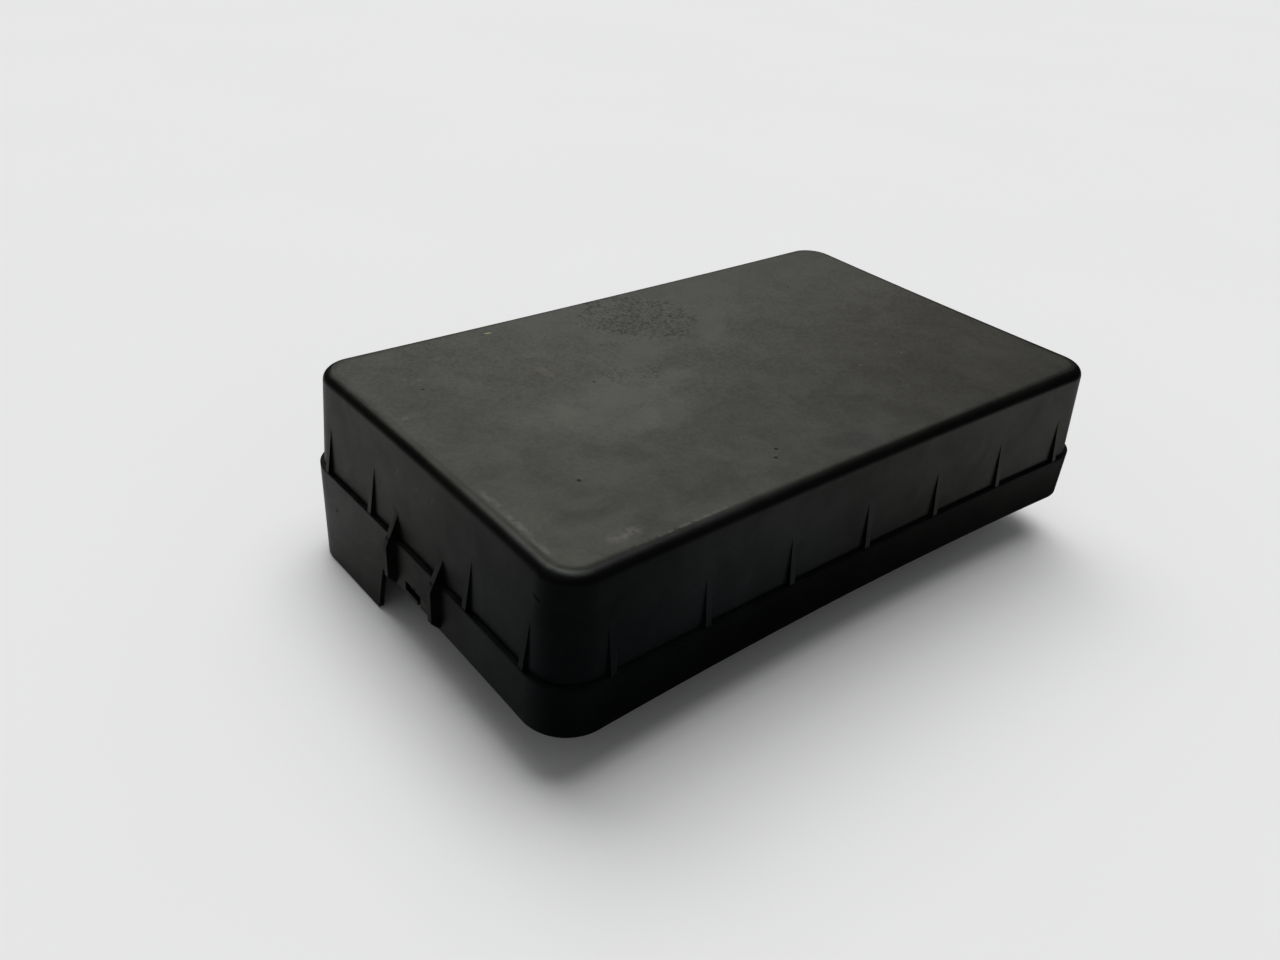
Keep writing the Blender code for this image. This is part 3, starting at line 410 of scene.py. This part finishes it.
def moulded_black(name, top_z):
    """Black moulded plastic of the cover: fine spark grain, dust on the top face that also carries painted
    light, scuffs, rubbed edges, and painted shade and reflection in how strongly it mirrors.
    """
    s = Shader(name)
    place = s.add("ShaderNodeSeparateXYZ")
    s.link(s.place, place.inputs[0])
    on_top = s.spread(place.outputs["Z"], *(top_z - depth for depth in TOP_FACE_DEPTH))
    inside_rim = s.spread(from_middle(s, place), FLAT_CORNER, FLAT_CORNER - RIM_FADE)

    # tone and marks of the top face
    cloud = s.noise(14, 5, 0.62, 0.4)
    ragged = s.noise(38, 5, 0.65, 0.6)
    mottle = s.patches(620, 3, 0.7, 0.30, 0.70)
    pale = top_marks(s, PALE_SWEEPS, top_z, 0.25, ragged)
    dull = top_marks(s, DULL_PATCHES, top_z, 0.72, ragged)
    brown = top_marks(s, (BROWN_SIDE,), top_z)
    cool = top_marks(s, (COOL_SPOT,), top_z, 0.3, ragged)
    rubs = s.times(top_marks(s, RUBS, top_z, 0.3), s.patches(380, 4, 0.7, 0.38, 0.60))
    stain = top_marks(s, (STAIN,), top_z, 0.4, ragged)
    fleck = top_marks(s, (YELLOW_FLECK,), top_z, 0.6)
    pits, specks = dots(s, PITS, top_z), dots(s, PALE_SPECKS, top_z)
    streaks = s.patches(30, 6, 0.72, 0.58, 0.74, 0.8, s.stretched((3.0, 14.0, 1.0)))

    # marks of the left wall and its flap
    broken = s.patches(420, 4, 0.7, 0.36, 0.60)
    scrapes = s.times(wall_marks(s, SCRAPES, 0.1), broken)
    rubbed = s.patches(70, 7, 0.75, 0.50, 0.66, 0.5, s.stretched((1.0, 1.0, 2.2)))
    rubbed = s.times(rubbed, s.blob(FLAP_MIDDLE, FLAP_HALF_SIZES, core=0.5))
    rubbed = s.math("MAXIMUM", rubbed, s.times(wall_marks(s, FLAP_SCRATCHES, 0.1), broken))
    beige = s.times(wall_marks(s, (BEIGE_BITS,), 0.3, ragged), broken)
    black = wall_marks(s, (BLACK_SCRATCH, BLACK_DOT), 0.5)

    # wear everywhere
    wear = s.times(s.edge_wear(0.9 * MM), s.patches(160, 4, 0.7, 0.40, 0.70))
    scratch = s.patches(60, 8, 0.8, 0.66, 0.74, 0.3, s.stretched((1.0, 1.0, 9.0)))

    # dust on the top face, with painted light in its growth towards the rear and its thinning at the left end
    dust_and_light = dust_film_and_light(s, place, cloud, pale, dull, mottle, inside_rim, on_top)
    tint = s.mix(brown, dusty(DUST_LEVEL, 1.0, 0.91), dusty(DUST_LEVEL * 0.84, 1.05, 0.86))
    tint = s.mix(s.times(cool, 0.8), tint, grey(DUST_LEVEL * 0.95, -0.06))
    base = s.mix(dust_and_light, s.mix(cloud, grey(0.0016, -0.04), grey(0.0030, -0.02)), tint)
    # each coat: where it lies, how much it hides, and its colour
    for mask, strength, colour in (
            (s.times(streaks, on_top), 0.10, grey(0.085, 0.04)),
            (rubs, 0.42, grey(0.110, 0.05)),
            (stain, 0.32, (0.105, 0.090, 0.072, 1)),
            (fleck, 0.70, (0.42, 0.37, 0.17, 1)),
            (wear, 0.14, grey(0.080)),
            (scratch, 0.04, grey(0.110)),
            (scrapes, 0.55, grey(0.110, 0.04)),
            (rubbed, 0.15, grey(0.110, 0.04)),
            (beige, 0.40, (0.130, 0.105, 0.062, 1)),
            (specks, 0.70, grey(0.160)),
            (pits, 1.00, grey(0.001))):
        base = s.mix(s.times(mask, strength), base, colour)
    s.link(base, s.body.inputs["Base Color"])

    rough = s.plus(s.spread(cloud, 0.30, 0.70, *ROUGH_RANGE), s.times(on_top, ROUGH_TOP))
    rough = s.plus(rough, s.times(dull, ROUGH_DULL))
    s.link(s.minus(rough, s.times(wear, ROUGH_WEAR), clamp=True), s.body.inputs["Roughness"])
    # painted shade and painted reflection in how strongly the cover mirrors
    sheen_and_painted_light(s, place, on_top, inside_rim, top_z, black)
    s.bumps([(s.noise(22, 3, 0.5), 0.04 * MM), (s.noise(2600, 2, 0.55), 0.030 * MM),
             (s.times(dull, mottle), 0.05 * MM), (s.minus(1.0, pits), 0.6 * MM)])
    return s.material


def moulded_plastic(name, level, roughness, grain_scale=1800, grain_depth=0.03):
    """Plain moulded plastic with a fine grain, cloudy tone and paler rubbed edges."""
    s = Shader(name)
    cloud = s.noise(35, 5, 0.6, 0.5)
    wear = s.times(s.edge_wear(0.5 * MM), s.patches(300, 3, 0.7, 0.35, 0.65))
    base = s.mix(cloud, grey(level * 0.75), grey(level * 1.3, 0.03))
    base = s.mix(s.times(wear, 0.35), base, grey(level * 4))
    s.link(base, s.body.inputs["Base Color"])
    s.link(s.spread(cloud, 0.3, 0.7, roughness - 0.06, roughness + 0.08), s.body.inputs["Roughness"])
    s.bumps([(s.noise(60, 3, 0.5), 0.05 * MM), (s.noise(grain_scale, 2, 0.55), grain_depth * MM)])
    return s.material


def rubber(name):
    """Dull black rubber with a bloom of pale powder."""
    s = Shader(name)
    bloom = s.patches(90, 6, 0.7, 0.42, 0.72)
    base = s.mix(s.times(bloom, 0.5), grey(0.011), grey(0.040, 0.03))
    s.link(base, s.body.inputs["Base Color"])
    s.link(s.spread(bloom, 0.0, 1.0, 0.72, 0.90), s.body.inputs["Roughness"])
    s.body.inputs["Specular IOR Level"].default_value = 0.30
    s.bumps([(s.noise(1500, 3, 0.6), 0.05 * MM), (s.noise(120, 2, 0.5), 0.08 * MM)])
    return s.material


def foam(name):
    """Closed-cell foam: small round pores in a dark grey skin."""
    s = Shader(name)
    cells = s.add("ShaderNodeTexVoronoi", feature="DISTANCE_TO_EDGE")
    s.link(s.place, cells.inputs["Vector"])
    cells.inputs["Scale"].default_value = 900
    wall = s.spread(cells.outputs["Distance"], 0.02, 0.22)
    base = s.mix(wall, grey(0.055), grey(0.028))
    base = s.mix(s.times(s.noise(40, 4, 0.6), 0.4), base, grey(0.065, 0.03))
    s.link(base, s.body.inputs["Base Color"])
    s.link(s.spread(wall, 0.0, 1.0, 0.82, 0.96), s.body.inputs["Roughness"])
    s.body.inputs["Specular IOR Level"].default_value = 0.25
    s.bumps([(s.minus(1.0, wall), 0.12 * MM)])
    return s.material


def zinc(name):
    """Zinc-plated steel: bluish bright metal with a spangle, fine turning lines and dull spots."""
    s = Shader(name)
    s.body.inputs["Metallic"].default_value = 1.0
    spangle = s.add("ShaderNodeTexVoronoi", feature="F1")
    s.link(s.place, spangle.inputs["Vector"])
    spangle.inputs["Scale"].default_value = 700
    tone = s.times(spangle.outputs["Distance"], 0.6)
    dull = s.patches(220, 5, 0.7, 0.50, 0.72)
    base = s.mix(tone, (0.62, 0.64, 0.66, 1), (0.48, 0.50, 0.53, 1))
    base = s.mix(s.times(dull, 0.5), base, (0.34, 0.33, 0.31, 1))
    s.link(base, s.body.inputs["Base Color"])
    s.link(s.plus(s.times(dull, 0.22), 0.26), s.body.inputs["Roughness"])
    s.bumps([(s.noise(900, 4, 0.6, 0.0, s.stretched((1.0, 1.0, 5.0))), 0.02 * MM)])
    return s.material


def painted_steel(name):
    """Black powder coat: orange peel, a little dust, and steel showing where the edges rub."""
    s = Shader(name)
    wear = s.times(s.edge_wear(0.7 * MM), s.patches(260, 4, 0.75, 0.48, 0.66))
    base = s.mix(s.noise(50, 5, 0.6), grey(0.022), grey(0.036))
    base = s.mix(wear, base, grey(0.36))
    s.link(base, s.body.inputs["Base Color"])
    s.link(wear, s.body.inputs["Metallic"])
    s.link(s.spread(s.noise(70, 4, 0.6), 0.3, 0.7, 0.34, 0.46), s.body.inputs["Roughness"])
    s.bumps([(s.noise(650, 1, 0.4), 0.06 * MM)])
    return s.material


def pale_floor(name):
    """Plain pale studio floor; in reflections it is dimmer, painted shade as if a dark screen stood behind
    the camera, with a painted shadow under the box's front.
    """
    s = Shader(name)
    mirrored = s.add("ShaderNodeLightPath").outputs["Is Glossy Ray"]
    along = s.add("ShaderNodeVectorMath", operation="DOT_PRODUCT")
    s.link(s.place, along.inputs[0])
    along.inputs[1].default_value = AWAY_FROM_CAMERA
    paler = s.spread(along.outputs["Value"], *MIRRORED_FLOOR_REACH, *MIRRORED_FLOOR_LEVEL)
    # painted shadow under the box's front, seen only in reflections
    shade = s.blob(*FRONT_SHADE, core=0.6)
    dimmed = s.times(paler, s.minus(1.0, s.times(shade, FRONT_SHADE_DEPTH)))
    reach = s.add("ShaderNodeVectorMath", operation="LENGTH")
    s.link(s.place, reach.inputs[0])
    dimmed = s.times(dimmed, s.spread(reach.outputs["Value"], *MIRRORED_FLOOR_FADE))
    base = s.mix(s.noise(3, 3, 0.5), grey(FLOOR_LEVEL - FLOOR_VARIATION), grey(FLOOR_LEVEL + FLOOR_VARIATION))
    base = s.mix(mirrored, base, s.mix(dimmed, grey(0.0), grey(1.0)))
    s.link(base, s.body.inputs["Base Color"])
    s.body.inputs["Roughness"].default_value = FLOOR_ROUGHNESS
    s.body.inputs["Specular IOR Level"].default_value = 0.0
    return s.material


# ---------------------------------------------------------------- mesh helpers

def mesh_from(name, bm):
    mesh = bpy.data.meshes.new(name)
    bm.to_mesh(mesh)
    bm.free()
    return mesh


def link_object(name, mesh):
    obj = bpy.data.objects.new(name, mesh)
    bpy.context.scene.collection.objects.link(obj)
    return obj


def box_cutter(name, low, high):
    bm = bmesh.new()
    bmesh.ops.create_cube(bm, size=1.0)
    size, centre = Vector(high) - Vector(low), (Vector(high) + Vector(low)) / 2
    placed = Matrix.Translation(centre) @ Matrix.Diagonal((*size, 1.0))
    bmesh.ops.transform(bm, matrix=placed, verts=bm.verts)
    return link_object(name, mesh_from(name, bm))


def slab(name, outline, depth, matrix):
    """Return an object: a flat outline drawn in (x, y) and thickened by depth, then placed."""
    bm = bmesh.new()
    lower = [bm.verts.new((x, y, -depth / 2)) for x, y in outline]
    upper = [bm.verts.new((x, y, depth / 2)) for x, y in outline]
    bm.faces.new(list(reversed(lower)))
    bm.faces.new(upper)
    count = len(outline)
    for i in range(count):
        j = (i + 1) % count
        bm.faces.new((lower[i], lower[j], upper[j], upper[i]))
    bmesh.ops.recalc_face_normals(bm, faces=bm.faces)
    bmesh.ops.transform(bm, matrix=matrix, verts=bm.verts)
    return link_object(name, mesh_from(name, bm))


def apply_modifiers(obj):
    """Bake the object's modifiers into its own mesh."""
    graph = bpy.context.evaluated_depsgraph_get()
    graph.update()
    mesh = bpy.data.meshes.new_from_object(obj.evaluated_get(graph))
    obj.modifiers.clear()
    obj.data = mesh


def combine(obj, others, operation):
    """Join or cut with each other object in turn, then remove those."""
    for other in others:
        modifier = obj.modifiers.new(operation.lower(), "BOOLEAN")
        modifier.operation, modifier.solver, modifier.object = operation, "EXACT", other
    bpy.context.view_layer.update()
    apply_modifiers(obj)
    for other in others:
        bpy.data.objects.remove(other)


# ---------------------------------------------------------------- the cover shell

def wall_outline(length, width, inset, bow_long):
    """Return the cover's outline at an inset from the skirt's outer face, with its walls bowed in."""
    half_x, half_y, radius = length / 2 - inset, width / 2 - inset, CORNER_RADIUS - inset
    points = []
    for quarter in range(4):
        sign_x = 1 if quarter in (0, 3) else -1
        sign_y = 1 if quarter in (0, 1) else -1
        centre = (sign_x * (half_x - radius), sign_y * (half_y - radius))
        for i in range(CORNER_STEPS + 1):
            angle = math.pi / 2 * (quarter + i / CORNER_STEPS)
            points.append((centre[0] + radius * math.cos(angle), centre[1] + radius * math.sin(angle)))
        start, heading = points[-1], math.pi / 2 * (quarter + 2)
        along_x = quarter % 2 == 0
        count = LONG_SIDE_STEPS if along_x else SHORT_SIDE_STEPS
        run = 2 * ((half_x if along_x else half_y) - radius)
        for i in range(1, count):
            step = run * i / count
            points.append((start[0] + step * math.cos(heading), start[1] + step * math.sin(heading)))
    bowed = []
    for x, y in points:
        pull_y = bow_long / half_y * (1 - min(1.0, abs(x) / half_x) ** 2)
        pull_x = BOW_SHORT_WALL / half_x * (1 - min(1.0, abs(y) / half_y) ** 2)
        bowed.append((x * (1 - pull_x), y * (1 - pull_y)))
    return bowed


class Cover:
    """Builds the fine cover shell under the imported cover's top face."""

    def __init__(self, top):
        self.top, self.step = top, top - STEP_DOWN
        self.length, self.width = LENGTH, WIDTH

    @staticmethod
    def share(along, span):
        return 1 - (2 * along / span) ** 2

    def bow(self, z):
        """Return the long wall's bow at a height."""
        if z <= self.step:
            up = max(0.0, (z - self.step + SKIRT_DEPTH) / SKIRT_DEPTH)
            return BOW_FREE_EDGE + (BOW_STEP - BOW_FREE_EDGE) * up
        return BOW_STEP + (BOW_TOP - BOW_STEP) * (z - self.step) / STEP_DOWN

    def inset(self, z):
        """Return how far the upper wall's face stands inside the skirt's."""
        return LEDGE + TOP_DRAFT * (z - self.step) / (STEP_DOWN - TOP_EDGE_RADIUS)

    def skin(self):
        """Loft the outer skin upwards from the flap's edge to the flat top."""
        heights = [(self.step - FLAP_DEPTH, 0.0), (self.step - SKIRT_DEPTH, 0.0),
                   (self.step - SKIRT_DEPTH / 2, 0.0), (self.step, 0.0)]
        shoulder = self.top - TOP_EDGE_RADIUS
        for i in range(WALL_STEPS + 1):
            z = self.step + (shoulder - self.step) * i / WALL_STEPS
            heights.append((z, self.inset(z)))
        for i in range(1, EDGE_STEPS + 1):
            angle = math.pi / 2 * i / EDGE_STEPS
            inset = self.inset(shoulder) + TOP_EDGE_RADIUS * (1 - math.cos(angle))
            heights.append((shoulder + TOP_EDGE_RADIUS * math.sin(angle), inset))
        bm = bmesh.new()
        loops = [[bm.verts.new((x, y, z))
                  for x, y in wall_outline(self.length, self.width, inset, self.bow(z))]
                 for z, inset in heights]
        for below, above in zip(loops, loops[1:]):
            for i, vert in enumerate(below):
                j = (i + 1) % len(below)
                bm.faces.new((vert, below[j], above[j], above[i]))
        bm.faces.new(loops[-1])
        shell = link_object("cover_shell", mesh_from("cover_shell", bm))
        wall = shell.modifiers.new("wall", "SOLIDIFY")
        wall.thickness, wall.offset, wall.use_even_offset = WALL, -1, True
        bpy.context.view_layer.update()
        apply_modifiers(shell)
        return shell

    def stand(self, x, y, heading):
        """Return the matrix that puts an (outward, up) outline on a wall point at the ledge."""
        return (Matrix.Translation((x, y, self.step)) @ Matrix.Rotation(heading, 4, "Z")
                @ Matrix.Rotation(math.pi / 2, 4, "X"))

    def gusset(self, relief):
        tip = relief - self.inset(self.step + GUSSET_HEIGHT)
        over, foot, back = 1.1, -0.1 * MM, -LEDGE - WALL * 0.6
        return [(foot, -0.8 * MM), (foot, 0.0), (foot + (tip - foot) * over, GUSSET_HEIGHT * over),
                (back - MM, GUSSET_HEIGHT * over), (back, -0.8 * MM)]

    def rib(self):
        tip_out = -self.inset(self.step + RIB_TIP_RISE)
        over, back, inner = 1.08, -LEDGE - WALL * 0.6, -WALL / 2
        top = (RIB_PROUD + (tip_out - RIB_PROUD) * over,
               -RIB_KNEE_DROP + (RIB_TIP_RISE + RIB_KNEE_DROP) * over)
        return [(RIB_PROUD, -RIB_CHAMFER_DROP), (RIB_PROUD, -RIB_KNEE_DROP), top, (back, top[1]),
                (back, -1.5 * MM), (inner, -1.5 * MM), (inner, -RIB_FOOT_DROP), (0.0, -RIB_FOOT_DROP)]

    def ribs(self):
        """Return every gusset and rib as an object."""
        made = []
        relief = BOW_STEP - self.bow(self.step + GUSSET_HEIGHT)
        for side in (-1, 1):
            for i in range(LONG_WALL_GUSSETS):
                x = (i - (LONG_WALL_GUSSETS - 1) / 2) * LONG_WALL_PITCH
                share = self.share(x, self.length)
                y = side * (self.width / 2 - BOW_STEP * share)
                made.append(slab("gusset", self.gusset(relief * share), GUSSET_THICKNESS,
                                 self.stand(x, y, side * math.pi / 2)))
            heading = 0.0 if side > 0 else math.pi
            flat = [(y, self.gusset(0.0), GUSSET_THICKNESS)
                    for away in SHORT_WALL_GUSSET_Y for y in (-away, away)]
            flat += [(y, self.rib(), RIB_THICKNESS) for y in (-RIB_Y, RIB_Y)]
            for y, outline, thickness in flat:
                x = side * (self.length / 2 - BOW_SHORT_WALL * self.share(y, self.width))
                made.append(slab("rib", outline, thickness, self.stand(x, y, heading)))
        return made

    def trims(self):
        """Return the cutters that shorten the skirt everywhere but at the flap."""
        beyond = 20 * MM
        free, foot = self.step - SKIRT_DEPTH, self.step - FLAP_DEPTH
        drop = free - foot
        (y_top, y_low), (x_top, x_low) = FLAP_END_Y, FLAP_REAR_X
        low, front_y, far_x = foot - beyond, -self.width / 2 - beyond, self.length / 2 + beyond
        front = [(front_y, low), (y_low + (y_low - y_top) / drop * beyond, low),
                 (y_top, free), (front_y, free)]
        rear = [(x_low + (x_low - x_top) / drop * beyond, low), (far_x, low), (far_x, free), (x_top, free)]
        along_x = Matrix.Rotation(math.pi / 2, 4, "Z") @ Matrix.Rotation(math.pi / 2, 4, "X")
        along_y = Matrix.Translation((0, self.width / 2, 0)) @ Matrix.Rotation(math.pi / 2, 4, "X")
        return [slab("front_trim", front, 2 * far_x, along_x),
                slab("rear_trim", rear, 0.75 * self.width, along_y)]

    def windows(self, side):
        """Return the cutters of one end's plate edge, latch window and split lip."""
        inner = side * (self.length / 2 - 10 * MM)
        low_x, high_x = sorted((inner, side * (self.length / 2 + RIB_PROUD + MM)))
        face_low, face_high = sorted((inner, side * (self.length / 2 + MM)))
        plate, half, centre = RIB_Y - RIB_THICKNESS / 2 - GAP, WINDOW_WIDTH / 2, -side * WINDOW_Y
        low_z, plate_z = self.step - SKIRT_DEPTH - MM, self.step - PLATE_DROP
        sill, head = (self.step - drop for drop in WINDOW_DROP)
        split = sorted((centre + side * half, centre + side * (half - LIP_SPLIT)))
        return [
            box_cutter("plate_edge", (low_x, -plate, low_z), (high_x, plate, plate_z)),
            box_cutter("window", (face_low, centre - half, sill), (face_high, centre + half, head)),
            box_cutter("lip", (face_low, split[0], low_z), (face_high, split[1], sill + MM)),
        ]

    def build(self):
        shell = self.skin()
        combine(shell, self.ribs(), "UNION")
        combine(shell, self.trims() + self.windows(-1) + self.windows(1), "DIFFERENCE")
        bevel = shell.modifiers.new("fillet", "BEVEL")
        bevel.width, bevel.segments, bevel.limit_method = FILLET, 2, "ANGLE"
        bevel.angle_limit = math.radians(32)
        bevel.harden_normals = False
        bpy.context.view_layer.update()
        apply_modifiers(shell)
        shell.data.shade_smooth()
        shell.data.set_sharp_from_angle(angle=math.radians(40))
        return shell


# ---------------------------------------------------------------- studio

def soft_light(name, towards, angle, strength):
    """A far, wide, soft light that comes from a direction and lights the whole floor evenly."""
    light = bpy.data.lights.new(name, "SUN")
    light.angle, light.energy = math.radians(angle), strength
    lamp = bpy.data.objects.new(name, light)
    lamp.rotation_mode = "QUATERNION"
    lamp.rotation_quaternion = Vector(towards).to_track_quat("Z", "Y")
    bpy.context.scene.collection.objects.link(lamp)


def studio():
    """A pale floor, soft light from behind and above, a dim room, and the camera."""
    scene = bpy.context.scene
    bm = bmesh.new()
    bmesh.ops.create_grid(bm, x_segments=1, y_segments=1, size=FLOOR_HALF_SIZE)
    floor = link_object("floor", mesh_from("floor", bm))
    floor.data.materials.append(pale_floor("floor"))
    for name, (towards, angle, strength) in LIGHTS.items():
        soft_light(name, towards, angle, strength)
    world = bpy.data.worlds.new("room")
    world.use_nodes = True
    room = world.node_tree
    room.nodes["Background"].inputs["Color"].default_value = ROOM_COLOUR
    mirrored = room.nodes.new("ShaderNodeLightPath").outputs["Is Glossy Ray"]
    strength = room.nodes.new("ShaderNodeMapRange")
    room.links.new(mirrored, strength.inputs["Value"])
    strength.inputs["To Min"].default_value = ROOM_LIGHT
    strength.inputs["To Max"].default_value = ROOM_LIGHT_IN_REFLECTIONS
    room.links.new(strength.outputs["Result"], room.nodes["Background"].inputs["Strength"])
    scene.world = world
    scene.view_settings.view_transform = "Standard"
    data = bpy.data.cameras.new("camera")
    data.lens, data.sensor_width = CAMERA_LENS, CAMERA_SENSOR
    camera = bpy.data.objects.new("camera", data)
    a, e = CAMERA_AZIMUTH, CAMERA_ELEVATION
    back = Vector((math.sin(a) * math.cos(e), -math.cos(a) * math.cos(e), math.sin(e)))
    camera.rotation_mode = "QUATERNION"
    lean = Matrix.Rotation(-CAMERA_ROLL, 3, "Z").to_quaternion()
    camera.rotation_quaternion = (-back).to_track_quat("-Z", "Y") @ lean
    camera.location = CAMERA_PLACE
    scene.collection.objects.link(camera)
    scene.camera = camera


FINISH_BY_SLOT = {
    "black_tray": lambda: moulded_plastic("tray_plastic", 0.018, 0.50),
    "black_rubber": lambda: rubber("black_rubber_bloom"),
    "grey_foam": lambda: foam("cell_foam"),
    "latch_plastic": lambda: moulded_plastic("latch_nylon", 0.050, 0.42, 2200, 0.02),
    "zinc_steel": lambda: zinc("zinc_plate"),
    "painted_bar": lambda: painted_steel("bar_paint"),
}
NODES_BY_SLOT = {
    "black_tray": ("base_tray", "latch_guide_left", "latch_guide_right"),
    "grey_foam": ("rim_seal",),
    "black_rubber": ("battery_mat", "foot_front_left", "foot_front_right", "foot_rear_left",
                     "foot_rear_right", "cable_grommet_inner", "cable_grommet_outer", "vent_plug",
                     "hold_down_pad"),
    "latch_plastic": ("latch_bolt_left", "latch_bolt_right"),
    "painted_bar": ("hold_down_bar",),
}


def main():
    for old in list(bpy.data.objects):
        bpy.data.objects.remove(old)
    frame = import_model()
    finishes = {slot: make() for slot, make in FINISH_BY_SLOT.items()}
    slots = {node: slot for slot, nodes in NODES_BY_SLOT.items() for node in nodes}
    for name, obj in frame["nodes"].items():
        for slot in obj.material_slots:
            slot.material = finishes[slots.get(name, "zinc_steel")]
    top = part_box("cover")[1].z
    shell = Cover(top).build()
    shell.data.materials.clear()
    shell.data.materials.append(moulded_black("cover_plastic", top))
    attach(shell, "cover")
    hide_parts("cover")
    studio()


main()
